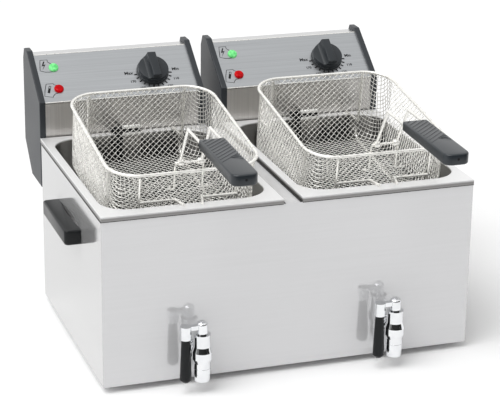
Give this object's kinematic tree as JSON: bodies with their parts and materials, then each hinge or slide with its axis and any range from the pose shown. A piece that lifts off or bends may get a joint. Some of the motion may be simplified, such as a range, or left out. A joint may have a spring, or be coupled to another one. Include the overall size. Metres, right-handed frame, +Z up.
{
  "type": "deep fryer",
  "caption": "Countertop electric deep fryer with side-by-side steel tanks, lift-off control heads, wire baskets with folding handles and front drain taps.",
  "frame": {"origin": "on the floor under the middle of the whole outline, with the handles out in front", "axes": "+X to the right seen from the front, +Y to the back, +Z up"},
  "size_m": [0.5924, 0.6994, 0.3795],
  "materials": {
    "panel_steel": "brushed",
    "tank_steel": "satin",
    "chrome": "polished",
    "wire": "bright plated",
    "heater_steel": "dull",
    "black_plastic": "satin",
    "grey_plastic": "satin",
    "rubber": "matte",
    "green_lens": "gloss",
    "red_lens": "gloss"
  },
  "bodies": {
    "casing": {"casing": "panel_steel", "base_plate": "panel_steel", "feet": "rubber", "centre_bridge": "panel_steel", "head_shelf": "panel_steel", "side_handle_left": "black_plastic", "side_handle_right": "black_plastic", "left_tank": "tank_steel", "left_drain_pipe": "tank_steel", "left_tap_body": "chrome", "right_tank": "tank_steel", "right_drain_pipe": "tank_steel", "right_tap_body": "chrome"},
    "left_head": {"left_head_housing": "panel_steel", "left_front_plate": "panel_steel", "left_cheek_left": "grey_plastic", "left_cheek_right": "grey_plastic", "left_control_panel": "panel_steel", "left_thermostat": "black_plastic", "left_green_lamp": "green_lens", "left_red_lamp": "red_lens", "left_heater": "heater_steel", "left_heater_hanger": "tank_steel", "left_sensor_bulb": "heater_steel", "left_cable_gland": "black_plastic"},
    "left_dial": {"left_knob": "black_plastic"},
    "left_tap": {"left_tap_lever": "chrome", "left_tap_grip": "black_plastic"},
    "left_basket_body": {"left_basket": "wire", "left_basket_rim": "wire", "left_basket_rests": "wire", "left_basket_hooks": "wire", "left_handle_axle": "wire"},
    "left_handle": {"left_handle_rods": "wire", "left_handle_grip": "grey_plastic"},
    "right_head": {"right_head_housing": "panel_steel", "right_front_plate": "panel_steel", "right_cheek_left": "grey_plastic", "right_cheek_right": "grey_plastic", "right_control_panel": "panel_steel", "right_thermostat": "black_plastic", "right_green_lamp": "green_lens", "right_red_lamp": "red_lens", "right_heater": "heater_steel", "right_heater_hanger": "tank_steel", "right_sensor_bulb": "heater_steel", "right_cable_gland": "black_plastic"},
    "right_dial": {"right_knob": "black_plastic"},
    "right_tap": {"right_tap_lever": "chrome", "right_tap_grip": "black_plastic"},
    "right_basket_body": {"right_basket": "wire", "right_basket_rim": "wire", "right_basket_rests": "wire", "right_basket_hooks": "wire", "right_handle_axle": "wire"},
    "right_handle": {"right_handle_rods": "wire", "right_handle_grip": "grey_plastic"}
  },
  "joints": [
    {"name": "left_head_lift", "type": "slide", "parent": "casing", "child": "left_head", "axis": [0, 0, 1], "range_m": [0, 0.1]},
    {"name": "left_dial_turn", "type": "hinge", "parent": "left_head", "child": "left_dial", "pos_m": [-0.086, 0.2633, 0.33886], "axis": [0, 0.5878, -0.809], "range_deg": [0, 270]},
    {"name": "left_tap_turn", "type": "hinge", "parent": "casing", "child": "left_tap", "pos_m": [-0.14, -0.1693, 0.09], "axis": [0, 0, 1], "range_deg": [0, 90]},
    {"name": "left_basket_lift", "type": "slide", "parent": "casing", "child": "left_basket_body", "axis": [0, 0, 1], "range_m": [0, 0.15]},
    {"name": "left_handle_fold", "type": "hinge", "parent": "left_basket_body", "child": "left_handle", "pos_m": [-0.1405, -0.11434, 0.31796], "axis": [-1, 0, 0], "range_deg": [0, 170]},
    {"name": "right_head_lift", "type": "slide", "parent": "casing", "child": "right_head", "axis": [0, 0, 1], "range_m": [0, 0.1]},
    {"name": "right_dial_turn", "type": "hinge", "parent": "right_head", "child": "right_dial", "pos_m": [0.2, 0.2633, 0.33886], "axis": [0, 0.5878, -0.809], "range_deg": [0, 270]},
    {"name": "right_tap_turn", "type": "hinge", "parent": "casing", "child": "right_tap", "pos_m": [0.146, -0.1693, 0.09], "axis": [0, 0, 1], "range_deg": [0, 90]},
    {"name": "right_basket_lift", "type": "slide", "parent": "casing", "child": "right_basket_body", "axis": [0, 0, 1], "range_m": [0, 0.15]},
    {"name": "right_handle_fold", "type": "hinge", "parent": "right_basket_body", "child": "right_handle", "pos_m": [0.1455, -0.11434, 0.31796], "axis": [-1, 0, 0], "range_deg": [0, 170]}
  ]
}
